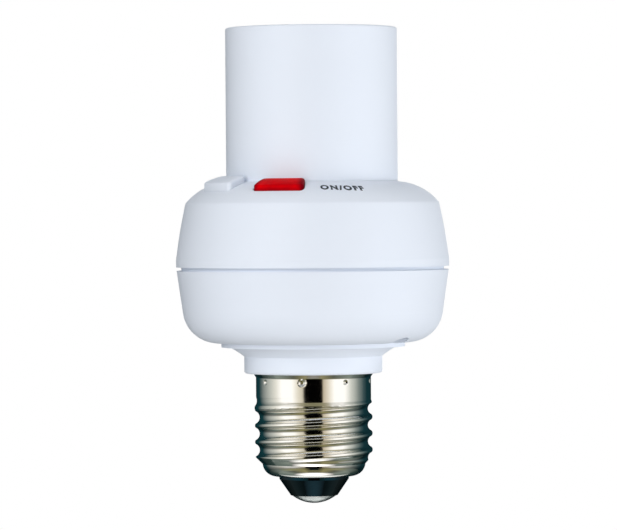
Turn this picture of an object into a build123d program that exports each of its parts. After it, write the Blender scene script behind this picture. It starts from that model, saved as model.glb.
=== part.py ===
from build123d import *
import math
import os

# Remote control lamp holder. Its Edison cap screws into a light fitting, a lamp screws into the tube on top,
# and a radio receiver in the round body between them switches the lamp.
# Millimetres. The origin is the tip of the cap's centre contact, on the axis. +Z points towards the lamp, and
# the two keys stand on the -Y side. An azimuth is measured from -Y towards +X.

# Cap: tip contact, insulator and screw shell
contact_height = 1.75
contact_radius = 4.95
shank_radius = 1.6
shank_length = 9.0
shank_bore_depth = 6.0
insulator_cone_height = 3.65
insulator_tip_radius = 5.2
insulator_rim_radius = 7.7
insulator_step = 0.65
insulator_depth = 4.0
cap_length = 22.8
cap_sheet = 0.4
cap_foot_length = 2.7
cap_foot_inset = 0.6
cap_foot_land = 0.7
cap_band_length = 6.0
cap_band_inset = 0.35
cap_lip_flare = 0.6
cap_lip_height = 0.9

# Edison thread of the cap, and of the socket that takes the lamp
thread_pitch = 3.629
cap_crest_radius = 13.1
thread_depth = 1.1
thread_play = 0.3
thread_crest_share = 0.27
crest_flat_depth = 0.05
thread_taper_length = 1.65
thread_runout_turns = 0.75
thread_runout_rise = 0.9
thread_top_drop = 2.0
thread_turns = 4
socket_groove_width = 2.4

# Stakes pressed through the cap's band into the neck: wide and narrow ones take turns
stake_pairs = 4
stake_azimuth = -11.5
stake_depth_below_collar = 1.75
wide_stake_radius = 0.85
wide_stake_depth = 0.45
narrow_stake_radius = 0.5
narrow_stake_depth = 0.35

# Lower housing: neck, flange and bowl
spigot_length = 5.2
spigot_wall = 2.05
collar_length = 3.75
collar_radius = 15.3
collar_edge_round = 0.55
flare_height = 2.1
flare_radius = 18.6
flare_bend_radius = 20.0
flange_thickness = 0.95
flange_radius = 20.35
bowl_height = 16.0
bowl_foot_radius = 27.85
bowl_round = 7.6
wall = 2.0
lip_height = 2.8
lip_thickness = 1.2
lip_setback = 1.15
seam_gap = 0.8
seam_step = 0.12

# Upper housing: skirt, domed shoulder and tube
body_radius = 30.25
skirt_land = 1.6
skirt_height = 14.05
skirt_bow_radius = 130.0
shoulder_edge_radius = 28.1
shoulder_edge_round = 1.0
shoulder_rise = 4.65
dome_radius = 12.4
tube_length = 34.15
tube_foot_round = 0.35
tube_rim_round = 0.5
tube_mouth_step = 0.3
floor_drop = 1.15
floor_thickness = 2.0

# Screws that hold the two housings together, and the bosses that they pass through
screw_azimuth = 52.5
screw_count = 2
counterbore_radius = 2.45
counterbore_to_flange = 0.35
counterbore_depth = 8.5
screw_tube_wall = 1.3
screw_boss_radius = 3.4
screw_shank_radius = 1.4
screw_head_radius = 2.3
screw_head_height = 1.8
screw_length = 18.0
screw_slot_width = 0.7
screw_slot_length = 2.6
screw_slot_depth = 0.9

# Keys on the shoulder
on_off_azimuth = -17.7
learn_azimuth = -59.3
key_half_angle = 13.4
key_to_tube = 1.1
key_to_edge = 3.05
on_off_proud = 0.95
learn_proud = 1.55
key_gap = 0.2
key_skin = 1.3
key_edge_round = 0.6
key_corner_round = 0.9
key_flange_reach = 0.9
key_flange_angle = 2.2
key_flange_thickness = 1.1
key_post_half_angle = 3.6
key_post_reach = 2.4
key_travel = 0.5

# Lamp socket inside the tube
liner_height = 25.4
liner_floor = 2.4
liner_wall = 2.75
liner_gap = 0.2
socket_sheet = 0.5
socket_ring_bore = 8.0
socket_relief_height = 3.6
socket_lead_in_height = 3.0
socket_lip_reach = 1.3
contact_leaf_width = 5.0
contact_leaf_sheet = 0.5
contact_leaf_foot = 6.9
contact_leaf_bend = 2.6
contact_leaf_rise = 3.6
contact_leaf_top = -2.4
contact_leaf_end = -5.2
contact_leaf_drop = 0.9
contact_leaf_round = 0.9
rivet_radius = 1.1
rivet_head_radius = 1.9
rivet_head_height = 0.6
rivet_head_taper = 25.0
contact_rivet_place = 5.0
socket_rivet_count = 2

# Circuit board and what it carries
board_above_lip = 1.0
board_thickness = 1.6
board_gap = 1.2
board_post_radius = 2.8
board_post_circle = 21.0
board_post_azimuths = (112.0, -100.0)
board_screw_radius = 1.1
board_screw_head_radius = 2.1
board_screw_head_height = 1.5
board_screw_length = 8.0
switch_side = 6.0
switch_height = 3.5
switch_corner = 0.4
switch_stem_radius = 1.7
switch_stem_proud = 1.5
switch_stem_sunk = 1.0
switch_offset_angle = -5.0
led_offset_angle = 8.4
led_radius = 1.5
led_flange_radius = 1.9
led_flange_height = 1.0
led_height = 5.2
relay_size = (19.0, 15.4, 15.5)
relay_place = (5.5, 8.2)
film_capacitor_size = (8.0, 18.0, 13.5)
film_capacitor_place = (-12.0, -0.8)
component_edge = 0.6
electrolytic_radius = 4.0
electrolytic_height = 11.5
electrolytic_place = (-9.4, -16.0)
crimp_height = 1.8
crimp_radius = 0.4
rectifier_size = (8.4, 6.4, 3.2)
rectifier_place = (11.0, -4.2)
varistor_radius = 4.2
varistor_thickness = 3.4
varistor_place = (2.2, -18.5)
resistor_radius = 1.6
resistor_length = 9.0
resistor_place = (8.5, -11.5)
component_wire_radius = 0.35
component_wire_length = 3.0
chip_size = (9.9, 3.9, 1.6)
chip_place = (-4.0, -6.0)
header_size = (12.7, 2.5, 2.5)
header_place = (0.0, 15.5)
receiver_size = (17.0, 11.0, 1.0)
receiver_place = (0.0, 11.8)
receiver_can_size = (9.0, 7.0, 2.2)
receiver_can_place = (-2.5, 11.0)
antenna_radius = 0.5
antenna_rise = 3.4
antenna_run = 14.0
antenna_place = (7.2, 14.0)

# Insulated leads
lead_radius = 0.8
cap_live_bend = 3.0
cap_live_neck_place = (-3.0, -2.0)
cap_live_board_place = (-3.0, -6.0)
cap_neutral_bend = 1.6
cap_neutral_reach = 3.3
cap_neutral_neck_place = (2.6, 4.2)
cap_neutral_board_place = (3.0, -7.0)
lamp_lead_bend = 1.6
lamp_live_board_place = (8.5, -3.0)
lamp_neutral_board_place = (4.0, -13.5)

# Clearances
slip = 0.1
seat = 0.05

# Heights of the stack, from the tip of the cap to the tube's rim
cone_top = contact_height + insulator_cone_height
foot_height = cone_top + insulator_step
collar_bottom = foot_height + cap_length
collar_top = collar_bottom + collar_length
flange_bottom = collar_top + flare_height
flange_top = flange_bottom + flange_thickness
rim_height = flange_top + bowl_height
skirt_bottom = rim_height + seam_gap
shoulder_edge = skirt_bottom + skirt_height
shoulder_height = shoulder_edge + shoulder_rise
tube_top = shoulder_height + tube_length
lip_top = rim_height + lip_height
board_bottom = lip_top + board_above_lip
board_top = board_bottom + board_thickness
floor_top = shoulder_height - floor_drop
floor_bottom = floor_top - floor_thickness
liner_floor_top = floor_top + liner_floor
liner_top = floor_top + liner_height
socket_top = liner_top + socket_sheet

# Radii that follow from the ones above
cap_root_radius = cap_crest_radius - thread_depth
cap_foot_radius = cap_root_radius - cap_foot_inset
cap_band_radius = cap_crest_radius - cap_band_inset
cap_lip_radius = cap_band_radius + cap_lip_flare
rim_radius = body_radius - seam_step
lip_radius = body_radius - lip_setback
screw_circle = flange_radius + counterbore_to_flange + counterbore_radius
socket_crest_radius = cap_root_radius + thread_play
socket_root_radius = cap_crest_radius + thread_play
socket_lead_radius = socket_root_radius + seat
socket_radius = socket_lead_radius + socket_sheet
socket_rivet_circle = (socket_ring_bore + socket_lead_radius) / 2
liner_bore = socket_radius + slip
liner_radius = liner_bore + liner_wall
tube_bore = liner_radius + liner_gap
tube_radius = tube_bore + wall
key_inner = tube_radius + key_to_tube
key_outer = shoulder_edge_radius - key_to_edge
board_radius = body_radius - wall - board_gap

# Centre of the shoulder's arc in the section plane, found from its two ends and its radius
dome_chord = math.hypot(shoulder_edge_radius - tube_radius, shoulder_rise)
dome_middle = ((tube_radius + shoulder_edge_radius) / 2, (shoulder_height + shoulder_edge) / 2)
dome_reach = math.sqrt(dome_radius**2 - dome_chord**2 / 4) / dome_chord
dome_centre = (
    dome_middle[0] - dome_reach * shoulder_rise,
    dome_middle[1] - dome_reach * (shoulder_edge_radius - tube_radius),
)


def angle_of(azimuth):
    """Turn an azimuth from the front into an angle from +X."""
    return azimuth - 90


def on_circle(radius, azimuth):
    """Point at this radius and azimuth, seen from above."""
    angle = math.radians(angle_of(azimuth))
    return (radius * math.cos(angle), radius * math.sin(angle))


def radial_plane(angle):
    """Upright section plane through the axis: local x is the radius and local y the height."""
    outward = Vector(1, 0, 0).rotate(Axis.Z, angle)
    return Plane(origin=(0, 0, 0), x_dir=outward, z_dir=outward.cross(Vector(0, 0, 1)))


def finish(builder, name):
    """Label a finished piece and write it."""
    builder.part.label = name
    export_step(builder.part, f"parts/{name}.step")


os.makedirs("parts", exist_ok=True)

# Cap contact: a domed disc with a hollow shank that takes the lead
with BuildPart() as cap_contact:
    with BuildSketch(Plane.XZ):
        with BuildLine():
            TangentArc((0, 0), (contact_radius, contact_height), tangent=(1, 0))
            Polyline(
                (contact_radius, contact_height),
                (shank_radius, contact_height),
                (shank_radius, contact_height + shank_length),
                (0, contact_height + shank_length),
                (0, 0),
            )
        make_face()
    revolve()
    with BuildSketch(Plane.XY.offset(contact_height + shank_length)):
        Circle(lead_radius + seat)
    extrude(amount=-shank_bore_depth, mode=Mode.SUBTRACT)
finish(cap_contact, "cap_contact")

# Cap insulator: a cone outside, and a flange that fills the rounded foot of the screw shell
thread_bottom = foot_height + cap_foot_length
insulator_flange_radius = cap_foot_radius - cap_sheet - slip
insulator_flange_bottom = foot_height + cap_sheet + slip
with BuildPart() as cap_insulator:
    with BuildSketch(Plane.XZ):
        with BuildLine():
            rim_edge = (insulator_rim_radius, insulator_flange_bottom)
            bend_start = (insulator_rim_radius + cap_foot_land, insulator_flange_bottom)
            bend_end = (insulator_flange_radius, thread_bottom)
            TangentArc(bend_start, bend_end, tangent=(1, 0))
            Polyline(
                bend_end,
                (insulator_flange_radius, insulator_flange_bottom + insulator_depth),
                (shank_radius + seat, insulator_flange_bottom + insulator_depth),
                (shank_radius + seat, contact_height),
                (insulator_tip_radius, contact_height),
                (insulator_rim_radius, cone_top),
                rim_edge,
                bend_start,
            )
        make_face()
    revolve()
finish(cap_insulator, "cap_insulator")


def thread_groove(height):
    """Section of the cap thread's groove: a root arc between two crest arcs, closed outside the crest."""
    both_arcs = (thread_pitch**2 / 4 + thread_depth**2) / (2 * thread_depth)
    crest_arc = thread_crest_share * both_arcs
    flank_radius = cap_crest_radius - thread_crest_share * thread_depth
    flank_rise = (1 - thread_crest_share) * thread_pitch / 2
    flank_end = math.acos(1 - crest_flat_depth / crest_arc)
    flank_start = math.asin(thread_pitch / 2 / both_arcs)
    flank_middle = (flank_end + flank_start) / 2
    edge_radius = cap_crest_radius - crest_flat_depth
    edge_rise = thread_pitch / 2 - crest_arc * math.sin(flank_end)
    bulge_radius = cap_crest_radius - crest_arc + crest_arc * math.cos(flank_middle)
    bulge_rise = thread_pitch / 2 - crest_arc * math.sin(flank_middle)
    outside = cap_crest_radius + thread_depth
    top = (edge_radius, height + edge_rise)
    upper_flank = (flank_radius, height + flank_rise)
    lower_flank = (flank_radius, height - flank_rise)
    bottom = (edge_radius, height - edge_rise)
    with BuildSketch(Plane.XZ) as groove:
        with BuildLine():
            ThreePointArc(top, (bulge_radius, height + bulge_rise), upper_flank)
            ThreePointArc(upper_flank, (cap_root_radius, height), lower_flank)
            ThreePointArc(lower_flank, (bulge_radius, height - bulge_rise), bottom)
            Polyline(bottom, (outside, height - edge_rise), (outside, height + edge_rise), top)
        make_face()
    return groove.sketch


def stake_places(radius, turn_offset):
    """Planes that face outwards at this radius, one for each stake of a kind."""
    height = collar_bottom - stake_depth_below_collar
    places = []
    for turn in range(stake_pairs):
        azimuth = stake_azimuth + (turn + turn_offset) * 360 / stake_pairs
        outward = on_circle(1, azimuth)
        places.append(Plane(origin=(*on_circle(radius, azimuth), height), z_dir=(*outward, 0)))
    return places


def stake_ball(radius, depth):
    """Radius of the ball that leaves a stake this wide and this deep."""
    return (radius**2 + depth**2) / (2 * depth)


wide_ball = stake_ball(wide_stake_radius, wide_stake_depth)
narrow_ball = stake_ball(narrow_stake_radius, narrow_stake_depth)
wide_stakes = stake_places(cap_band_radius - wide_stake_depth + wide_ball, 0)
narrow_stakes = stake_places(cap_band_radius - narrow_stake_depth + narrow_ball, 1 / 2)

# Space inside the screw shell. The stakes bulge into it by the thickness of the sheet
band_bottom = collar_bottom - cap_band_length
thread_full = thread_bottom + thread_taper_length
band_bore = cap_band_radius - cap_sheet
thread_bore = cap_root_radius - cap_sheet
foot_bore = cap_foot_radius - cap_sheet
lip_bore = cap_lip_radius - cap_sheet
bore_taper_length = thread_taper_length * (thread_bore - foot_bore) / (cap_crest_radius - cap_foot_radius)
mouth_radius = insulator_rim_radius + slip
with BuildPart() as cap_space:
    with BuildSketch(Plane.YZ):
        with BuildLine():
            bend_start = (mouth_radius + cap_foot_land, foot_height + cap_sheet)
            bend_end = (foot_bore, thread_bottom)
            TangentArc(bend_start, bend_end, tangent=(1, 0))
            Polyline(
                bend_end,
                (thread_bore, thread_bottom + bore_taper_length),
                (thread_bore, band_bottom - cap_sheet),
                (band_bore, band_bottom),
                (band_bore, collar_bottom - cap_lip_height),
                (lip_bore, collar_bottom),
                (0, collar_bottom),
                (0, foot_height),
                (mouth_radius, foot_height),
                (mouth_radius, foot_height + cap_sheet),
                bend_start,
            )
        make_face()
    revolve()
    with Locations(wide_stakes):
        Sphere(wide_ball + cap_sheet, mode=Mode.SUBTRACT)
    with Locations(narrow_stakes):
        Sphere(narrow_ball + cap_sheet, mode=Mode.SUBTRACT)

# Screw shell of the cap: thin sheet with a rolled thread, a plain band, a flared lip and eight stakes
groove_top = band_bottom - thread_top_drop
groove_bottom = groove_top - thread_turns * thread_pitch
runout_height = thread_runout_turns * thread_pitch
with BuildPart() as cap_shell:
    with BuildSketch(Plane.YZ):
        with BuildLine():
            bend_start = (mouth_radius + cap_foot_land, foot_height)
            bend_end = (cap_foot_radius, thread_bottom)
            TangentArc(bend_start, bend_end, tangent=(1, 0))
            Polyline(
                bend_end,
                (cap_crest_radius, thread_full),
                (cap_crest_radius, band_bottom - thread_pitch / 4),
                (cap_band_radius, band_bottom),
                (cap_band_radius, collar_bottom - cap_lip_height),
                (cap_lip_radius, collar_bottom),
                (0, collar_bottom),
                (0, foot_height),
                bend_start,
            )
        make_face()
    revolve()
    with BuildLine() as thread_path:
        Helix(
            pitch=thread_pitch,
            height=groove_top - groove_bottom,
            radius=cap_crest_radius,
            center=(0, 0, groove_bottom),
        )
    sweep(thread_groove(groove_bottom), path=thread_path.line, is_frenet=True, mode=Mode.SUBTRACT)
    with BuildLine() as runout_path:
        Helix(
            pitch=thread_pitch,
            height=runout_height,
            radius=cap_crest_radius,
            center=(0, 0, groove_top),
            cone_angle=math.degrees(math.atan(thread_runout_rise / runout_height)),
        )
    sweep(thread_groove(groove_top), path=runout_path.line, is_frenet=True, mode=Mode.SUBTRACT)
    add(cap_space.part, mode=Mode.SUBTRACT)
    with Locations(wide_stakes):
        Sphere(wide_ball, mode=Mode.SUBTRACT)
    with Locations(narrow_stakes):
        Sphere(narrow_ball, mode=Mode.SUBTRACT)
finish(cap_shell, "cap_shell")

# Space inside the lower housing: the bowl, less the tubes that the housing screws pass through
screw_joint = lip_top + slip
screw_places = [
    on_circle(screw_circle, screw_azimuth + turn * 360 / screw_count) for turn in range(screw_count)
]
screw_tube_radius = counterbore_radius + screw_tube_wall
screw_hole = screw_shank_radius + slip
bowl_floor = flange_top + wall
lip_bore_radius = lip_radius - lip_thickness
with BuildPart() as bowl_space:
    with BuildSketch(Plane.XZ) as bowl_space_section:
        with BuildLine():
            Polyline(
                (0, bowl_floor),
                (bowl_foot_radius - wall, bowl_floor),
                (lip_bore_radius, lip_top),
                (0, lip_top),
                close=True,
            )
        make_face()
        bowl_corner = (bowl_foot_radius - wall, bowl_floor)
        fillet(bowl_space_section.vertices().sort_by_distance(bowl_corner)[0], bowl_round - wall)
    revolve()
    with BuildSketch(Plane.XY.offset(bowl_floor)):
        with Locations(screw_places):
            Circle(screw_tube_radius)
    extrude(amount=lip_top - bowl_floor, mode=Mode.SUBTRACT)

# Lower housing: a spigot inside the cap, a hollow collar, a flare and flange, and the bowl with its seam lip
spigot_radius = band_bore - slip
spigot_bottom = collar_bottom - spigot_length
counterbore_seat = flange_top + counterbore_depth
with BuildPart() as lower_housing:
    with BuildSketch(Plane.XZ) as lower_section:
        with BuildLine():
            Polyline(
                (0, spigot_bottom),
                (spigot_radius, spigot_bottom),
                (spigot_radius, collar_bottom),
                (collar_radius, collar_bottom),
                (collar_radius, collar_top),
            )
            RadiusArc((collar_radius, collar_top), (flare_radius, flange_bottom), flare_bend_radius)
            Polyline(
                (flare_radius, flange_bottom),
                (flange_radius, flange_bottom),
                (flange_radius, flange_top),
                (bowl_foot_radius, flange_top),
                (rim_radius, rim_height),
                (lip_radius, rim_height),
                (lip_radius, lip_top),
                (0, lip_top),
                (0, spigot_bottom),
            )
        make_face()
        bowl_foot = (bowl_foot_radius, flange_top)
        fillet(lower_section.vertices().sort_by_distance(bowl_foot)[0], bowl_round)
        collar_edge = (collar_radius, collar_bottom)
        fillet(lower_section.vertices().sort_by_distance(collar_edge)[0], collar_edge_round)
    revolve()
    add(bowl_space.part, mode=Mode.SUBTRACT)
    with BuildSketch(Plane.XY.offset(spigot_bottom)):
        Circle(spigot_radius - spigot_wall)
    extrude(amount=bowl_floor - spigot_bottom, mode=Mode.SUBTRACT)
    with BuildSketch(Plane.XY.offset(collar_bottom + wall)):
        Circle(collar_radius - wall)
    extrude(amount=bowl_floor - collar_bottom - wall, mode=Mode.SUBTRACT)
    with BuildSketch(Plane.XY.offset(flange_bottom)):
        with Locations(screw_places):
            Circle(counterbore_radius)
    extrude(amount=counterbore_seat - flange_bottom, mode=Mode.SUBTRACT)
    with BuildSketch(Plane.XY.offset(counterbore_seat)):
        with Locations(screw_places):
            Circle(screw_hole)
    extrude(amount=screw_joint - counterbore_seat, mode=Mode.SUBTRACT)
    with Locations(wide_stakes):
        Sphere(wide_ball + cap_sheet + slip, mode=Mode.SUBTRACT)
    with Locations(narrow_stakes):
        Sphere(narrow_ball + cap_sheet + slip, mode=Mode.SUBTRACT)
finish(lower_housing, "lower_housing")


def shoulder_outline(extra):
    """Draw the upper housing's half section, reaching past the axis, the seam and the rim by this much."""
    Polyline(
        (-extra, skirt_bottom - extra),
        (body_radius, skirt_bottom - extra),
        (body_radius, skirt_bottom + skirt_land),
    )
    RadiusArc(
        (body_radius, skirt_bottom + skirt_land),
        (shoulder_edge_radius, shoulder_edge),
        -skirt_bow_radius,
    )
    RadiusArc((shoulder_edge_radius, shoulder_edge), (tube_radius, shoulder_height), -dome_radius)
    Polyline(
        (tube_radius, shoulder_height),
        (tube_radius, tube_top + extra),
        (-extra, tube_top + extra),
        (-extra, skirt_bottom - extra),
    )


# Space inside the upper housing, less the floor across the tube, the screw bosses and the board's posts
board_post_places = [on_circle(board_post_circle, azimuth) for azimuth in board_post_azimuths]
with BuildPart() as upper_space:
    with BuildSketch(Plane.XZ):
        with BuildLine():
            shoulder_outline(wall)
        make_face()
        offset(amount=-wall)
    revolve()
    with BuildSketch(Plane.XY.offset(floor_bottom)):
        Circle(tube_radius)
    extrude(amount=floor_thickness, mode=Mode.SUBTRACT)
    with BuildSketch(Plane.XY.offset(screw_joint)):
        with Locations(screw_places):
            Circle(screw_boss_radius)
    extrude(amount=shoulder_height - screw_joint, mode=Mode.SUBTRACT)
    with BuildSketch(Plane.XY.offset(board_top)):
        with Locations(board_post_places):
            Circle(board_post_radius)
    extrude(amount=shoulder_height - board_top, mode=Mode.SUBTRACT)

# Openings in the shoulder for the two keys
key_middle = (key_inner + key_outer) / 2
gap_angle = math.degrees(key_gap / key_middle)
opening_half_angle = key_half_angle + gap_angle
with BuildPart() as key_openings:
    for azimuth in (on_off_azimuth, learn_azimuth):
        with BuildSketch(radial_plane(angle_of(azimuth) - opening_half_angle)):
            with Locations((key_middle, shoulder_height)):
                Rectangle(key_outer - key_inner + 2 * key_gap, 2 * (shoulder_rise + wall))
        revolve(axis=Axis.Z, revolution_arc=2 * opening_half_angle)
    fillet(key_openings.edges().filter_by(Axis.Z), key_corner_round + key_gap)

# Upper housing: skirt, domed shoulder and tube in one moulding. The tube is wider above the lamp socket
rivet_places = [(contact_rivet_place, 0)]
rivet_places += [
    on_circle(socket_rivet_circle, turn * 360 / socket_rivet_count) for turn in range(socket_rivet_count)
]
rivet_hole = rivet_radius + seat
pilot_depth = counterbore_seat + screw_length - screw_joint + slip
board_pilot_depth = board_screw_length - board_thickness + slip
with BuildPart() as upper_housing:
    with BuildSketch(Plane.XZ) as upper_section:
        with BuildLine():
            shoulder_outline(0)
        make_face()
        for corner, radius in (
            ((tube_radius, shoulder_height), tube_foot_round),
            ((shoulder_edge_radius, shoulder_edge), shoulder_edge_round),
            ((tube_radius, tube_top), tube_rim_round),
        ):
            fillet(upper_section.vertices().sort_by_distance(corner)[0], radius)
    revolve()
    add(upper_space.part, mode=Mode.SUBTRACT)
    with BuildSketch(Plane.XY.offset(socket_top)):
        Circle(tube_bore + tube_mouth_step)
    extrude(amount=tube_top - socket_top, mode=Mode.SUBTRACT)
    with BuildSketch(Plane.XY.offset(skirt_bottom)):
        Circle(lip_radius + slip)
    extrude(amount=lip_top - skirt_bottom + slip, mode=Mode.SUBTRACT)
    add(key_openings.part, mode=Mode.SUBTRACT)
    with BuildSketch(Plane.XY.offset(floor_bottom)):
        with Locations(rivet_places):
            Circle(rivet_hole)
    extrude(amount=floor_thickness, mode=Mode.SUBTRACT)
    with BuildSketch(Plane.XY.offset(screw_joint)):
        with Locations(screw_places):
            Circle(screw_shank_radius + seat)
    extrude(amount=pilot_depth, mode=Mode.SUBTRACT)
    with BuildSketch(Plane.XY.offset(board_top)):
        with Locations(board_post_places):
            Circle(board_screw_radius + seat)
    extrude(amount=board_pilot_depth, mode=Mode.SUBTRACT)
finish(upper_housing, "upper_housing")

# Keys: a hollow pad that follows the shoulder, a flange that keeps it in, and a post over its switch
switch_top = board_top + switch_height + switch_stem_proud
flange_top_arc = dome_radius - wall - key_gap
flange_bottom_arc = flange_top_arc - key_flange_thickness
skin_angle = math.degrees(key_skin / key_middle)


def band_section(inner_arc, outer_arc, start, end):
    """Draw the part of a band round the shoulder's centre that lies between two radii from the axis."""
    with Locations(dome_centre):
        Circle(outer_arc)
        Circle(inner_arc, mode=Mode.SUBTRACT)
    with Locations(((start + end) / 2, dome_centre[1])):
        Rectangle(end - start, outer_arc, align=(Align.CENTER, Align.MIN), mode=Mode.INTERSECT)


def make_key(azimuth, proud, post_azimuth):
    """One key, standing proud of the shoulder by this much."""
    top_arc = dome_radius + proud
    angle = angle_of(azimuth)
    with BuildPart() as key:
        with BuildSketch(radial_plane(angle - key_half_angle)):
            band_section(flange_bottom_arc, top_arc, key_inner, key_outer)
        revolve(axis=Axis.Z, revolution_arc=2 * key_half_angle)
        fillet(key.edges().filter_by(Axis.Z), key_corner_round)
        fillet(key.faces().sort_by(Axis.Z)[-1].edges(), key_edge_round)
        flange_half_angle = key_half_angle + key_flange_angle
        with BuildSketch(radial_plane(angle - flange_half_angle)):
            band_section(
                flange_bottom_arc,
                flange_top_arc,
                key_inner - key_flange_reach,
                key_outer + key_flange_reach,
            )
        revolve(axis=Axis.Z, revolution_arc=2 * flange_half_angle)
        pocket_half_angle = key_half_angle - skin_angle
        with BuildSketch(radial_plane(angle - pocket_half_angle)):
            band_section(
                flange_bottom_arc - key_flange_thickness,
                top_arc - key_skin,
                key_inner + key_skin,
                key_outer - key_skin,
            )
        revolve(axis=Axis.Z, revolution_arc=2 * pocket_half_angle, mode=Mode.SUBTRACT)
        with BuildSketch(radial_plane(angle_of(post_azimuth) - key_post_half_angle)):
            with Locations(dome_centre):
                Circle(top_arc - key_skin / 2)
            with Locations((key_middle, switch_top)):
                Rectangle(
                    key_post_reach,
                    shoulder_height - switch_top,
                    align=(Align.CENTER, Align.MIN),
                    mode=Mode.INTERSECT,
                )
        revolve(axis=Axis.Z, revolution_arc=2 * key_post_half_angle)
    return key


on_off_switch_azimuth = on_off_azimuth + switch_offset_angle
on_off_key = make_key(on_off_azimuth, on_off_proud, on_off_switch_azimuth)
finish(on_off_key, "on_off_key")
learn_key = make_key(learn_azimuth, learn_proud, learn_azimuth)
finish(learn_key, "learn_key")

# Socket liner: an insulating cup that stands on the floor of the tube
with BuildPart() as socket_liner:
    with BuildSketch(Plane.XZ):
        with BuildLine():
            Polyline(
                (0, floor_top),
                (liner_radius, floor_top),
                (liner_radius, liner_top),
                (liner_bore, liner_top),
                (liner_bore, liner_floor_top),
                (0, liner_floor_top),
                close=True,
            )
        make_face()
    revolve()
    with BuildSketch(Plane.XY.offset(floor_top)):
        with Locations(rivet_places):
            Circle(rivet_hole)
    extrude(amount=liner_floor, mode=Mode.SUBTRACT)
finish(socket_liner, "socket_liner")

# Socket shell: a metal cup with the lamp's thread inside, open at both ends of the thread
ring_top = liner_floor_top + socket_sheet
relief_top = ring_top + socket_relief_height
lead_in_bottom = socket_top - socket_lead_in_height
thread_step = socket_lead_radius - socket_crest_radius
socket_groove_start = relief_top - socket_groove_width / 2 - slip
socket_groove_end = lead_in_bottom + socket_groove_width / 2 + slip
with BuildPart() as socket_shell:
    with BuildSketch(Plane.YZ):
        with BuildLine():
            Polyline(
                (socket_ring_bore, liner_floor_top),
                (socket_radius, liner_floor_top),
                (socket_radius, liner_top),
                (socket_radius + socket_lip_reach, liner_top),
                (socket_radius + socket_lip_reach, socket_top),
                (socket_lead_radius, socket_top),
                (socket_lead_radius, lead_in_bottom),
                (socket_crest_radius, lead_in_bottom - thread_step),
                (socket_crest_radius, relief_top + thread_step),
                (socket_lead_radius, relief_top),
                (socket_lead_radius, ring_top),
                (socket_ring_bore, ring_top),
                close=True,
            )
        make_face()
    revolve()
    with BuildLine() as socket_thread_path:
        Helix(
            pitch=thread_pitch,
            height=socket_groove_end - socket_groove_start,
            radius=socket_crest_radius,
            center=(0, 0, socket_groove_start),
        )
    with BuildSketch(Plane.XZ):
        with BuildLine():
            groove_low = (socket_crest_radius, socket_groove_start - socket_groove_width / 2)
            groove_high = (socket_crest_radius, socket_groove_start + socket_groove_width / 2)
            inside = 2 * socket_crest_radius - socket_root_radius
            ThreePointArc(groove_low, (socket_root_radius, socket_groove_start), groove_high)
            Polyline(groove_high, (inside, groove_high[1]), (inside, groove_low[1]), groove_low)
        make_face()
    sweep(path=socket_thread_path.line, is_frenet=True, mode=Mode.SUBTRACT)
    with BuildSketch(Plane.XY.offset(liner_floor_top)):
        with Locations(rivet_places[1:]):
            Circle(rivet_hole)
    extrude(amount=socket_sheet, mode=Mode.SUBTRACT)
finish(socket_shell, "socket_shell")

# Centre contact: one bent strip, riveted at its foot, that springs up to the lamp
leaf_middle = liner_floor_top + contact_leaf_sheet / 2
leaf_top = leaf_middle + contact_leaf_rise
with BuildPart() as centre_contact:
    with BuildSketch(Plane.XZ):
        with BuildLine():
            FilletPolyline(
                (contact_leaf_foot, leaf_middle),
                (contact_leaf_bend, leaf_middle),
                (contact_leaf_top, leaf_top),
                (contact_leaf_end, leaf_top - contact_leaf_drop),
                radius=contact_leaf_round,
            )
        trace(line_width=contact_leaf_sheet)
    extrude(amount=contact_leaf_width / 2, both=True)
    with BuildSketch(Plane.XY.offset(liner_floor_top)):
        with Locations(rivet_places[0]):
            Circle(rivet_hole)
    extrude(amount=contact_leaf_sheet, mode=Mode.SUBTRACT)
finish(centre_contact, "centre_contact")

# Rivets: one through the centre contact and two through the shell's ring, set under the tube's floor
rivet_stack_top = liner_floor_top + socket_sheet
with BuildPart() as socket_rivets:
    with BuildSketch(Plane.XY.offset(rivet_stack_top)):
        with Locations(rivet_places):
            Circle(rivet_head_radius)
    extrude(amount=rivet_head_height, taper=rivet_head_taper)
    with BuildSketch(Plane.XY.offset(floor_bottom)):
        with Locations(rivet_places):
            Circle(rivet_radius)
    extrude(amount=rivet_stack_top - floor_bottom)
    with BuildSketch(Plane.XY.offset(floor_bottom)):
        with Locations(rivet_places):
            Circle(rivet_head_radius)
    extrude(amount=-rivet_head_height)
finish(socket_rivets, "socket_rivets")

# Circuit board, notched round the housing's bosses
with BuildPart() as circuit_board:
    with BuildSketch(Plane.XY.offset(board_bottom)):
        Circle(board_radius)
        with Locations(screw_places):
            Circle(screw_boss_radius + board_gap / 2, mode=Mode.SUBTRACT)
        with Locations(board_post_places):
            Circle(board_screw_radius + slip, mode=Mode.SUBTRACT)
    extrude(amount=board_thickness)
finish(circuit_board, "circuit_board")


def make_screws(places, seat_height, head, shank):
    """Pan-head screws that point up, with a cross recess in the head. Sizes are (radius, height)."""
    with BuildPart() as screws:
        with BuildSketch(Plane.XY.offset(seat_height)):
            with Locations(places):
                Circle(head[0])
        extrude(amount=-head[1])
        with BuildSketch(Plane.XY.offset(seat_height)):
            with Locations(places):
                Circle(shank[0])
        extrude(amount=shank[1])
        with BuildSketch(Plane.XY.offset(seat_height - head[1])):
            with Locations(places):
                Rectangle(screw_slot_width, screw_slot_length)
                Rectangle(screw_slot_length, screw_slot_width)
        extrude(amount=screw_slot_depth, mode=Mode.SUBTRACT)
    return screws


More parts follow.
